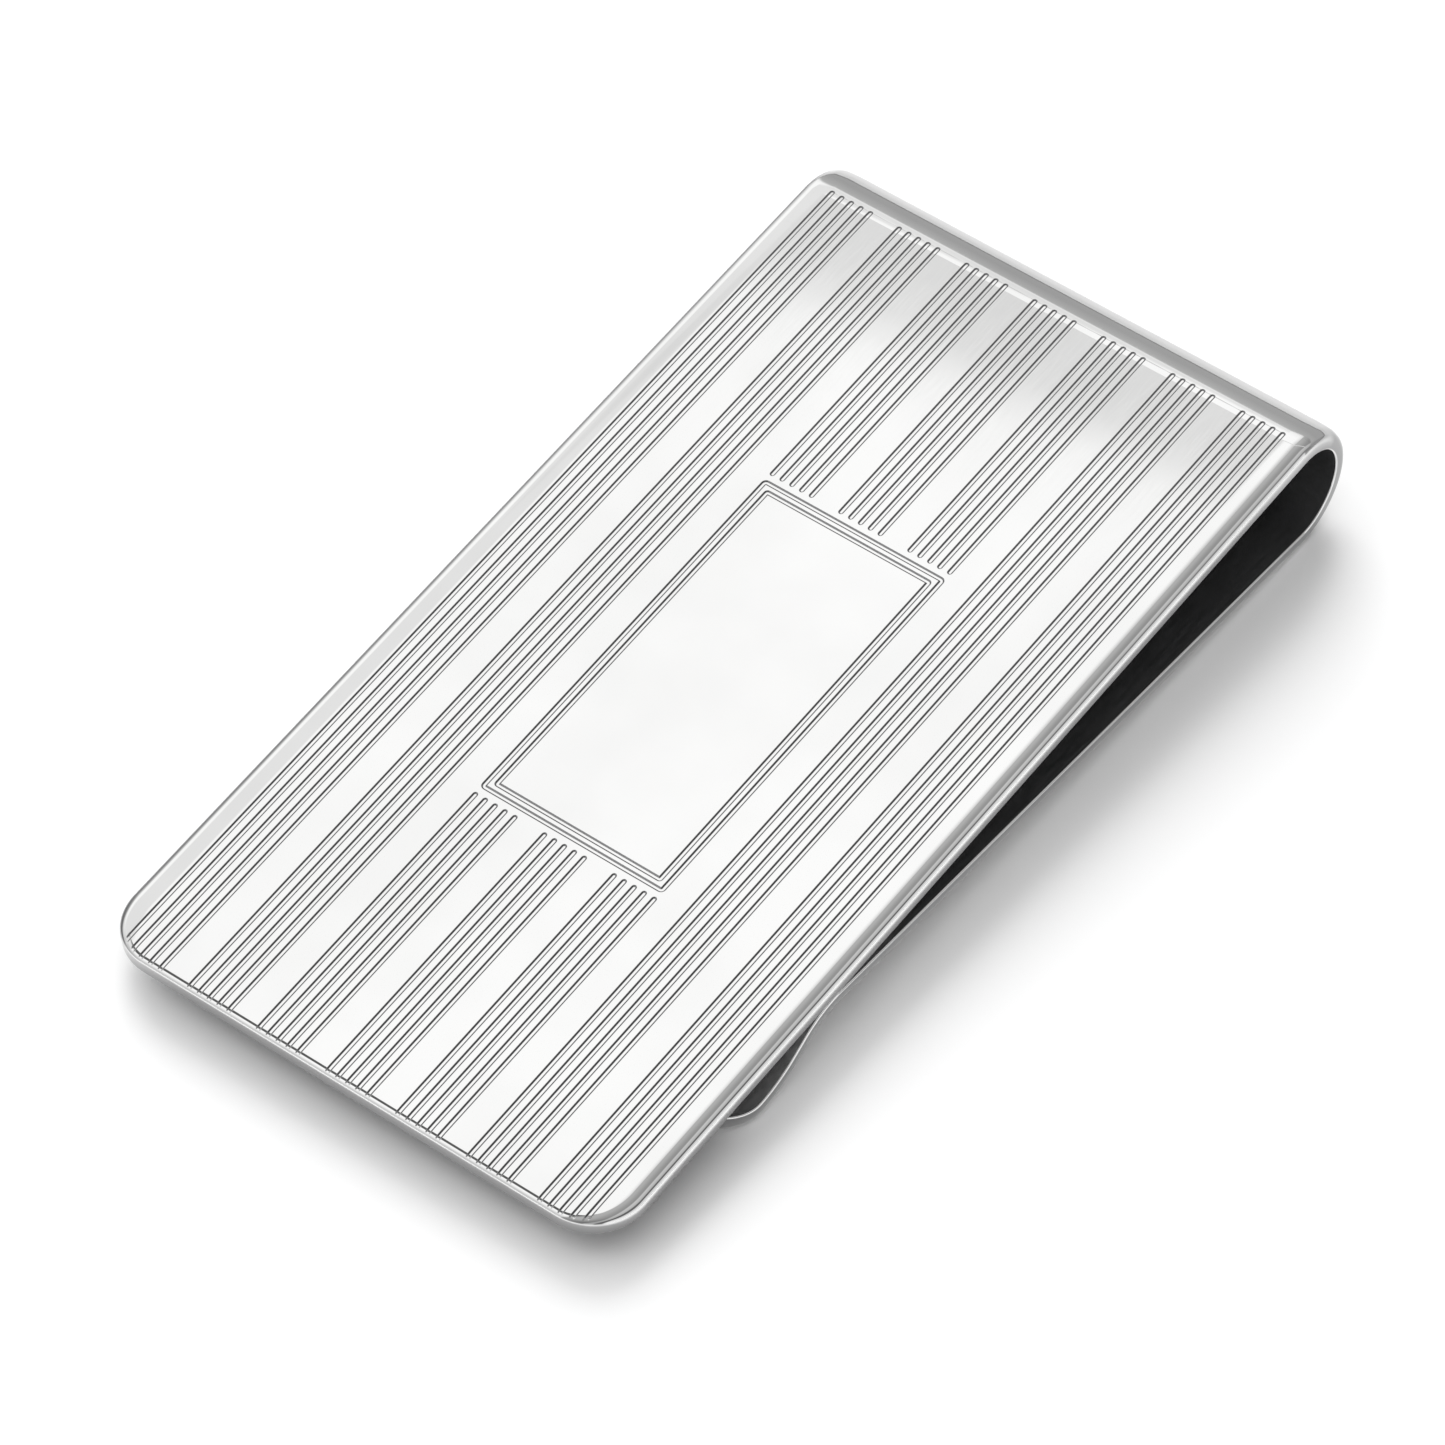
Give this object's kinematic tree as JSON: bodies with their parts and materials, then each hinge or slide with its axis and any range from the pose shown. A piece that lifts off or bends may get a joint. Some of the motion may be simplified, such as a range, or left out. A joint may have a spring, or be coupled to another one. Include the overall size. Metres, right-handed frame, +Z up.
{
  "type": "money clip",
  "caption": "Slim spring clip bent from one strip: a flat engraved plate, a round fold and a spring leg that grips folded notes under the plate.",
  "frame": {"origin": "on the ground, under the middle of the closed clip's bounding box", "axes": "+X across the strip, to the right of a user who looks at the engraved face with its free end near them; +Y along the clip, from the free end to the fold; +Z up, as the clip lies on its leg"},
  "size_m": [0.028, 0.0544, 0.0066],
  "materials": {
    "engraved_silver": "bright rhodium-white silver, mirror polished, with fine bright-cut lines",
    "polished_silver": "bright rhodium-white silver, mirror polished, with faint hairline wear"
  },
  "bodies": {
    "leg": {"fold_lower": "polished_silver", "spring_leg": "polished_silver", "grip_bend": "polished_silver", "lip_ramp": "polished_silver", "lip_curl": "polished_silver"},
    "plate": {"front_plate": "engraved_silver", "fold_upper": "polished_silver"}
  },
  "joints": [
    {"name": "plate_spring", "type": "hinge", "parent": "leg", "child": "plate", "pos_m": [0, 0.02719, 0.00356], "axis": [-1, 0, 0], "range_deg": [0, 8], "stiffness_Nm_per_rad": 6.2}
  ]
}
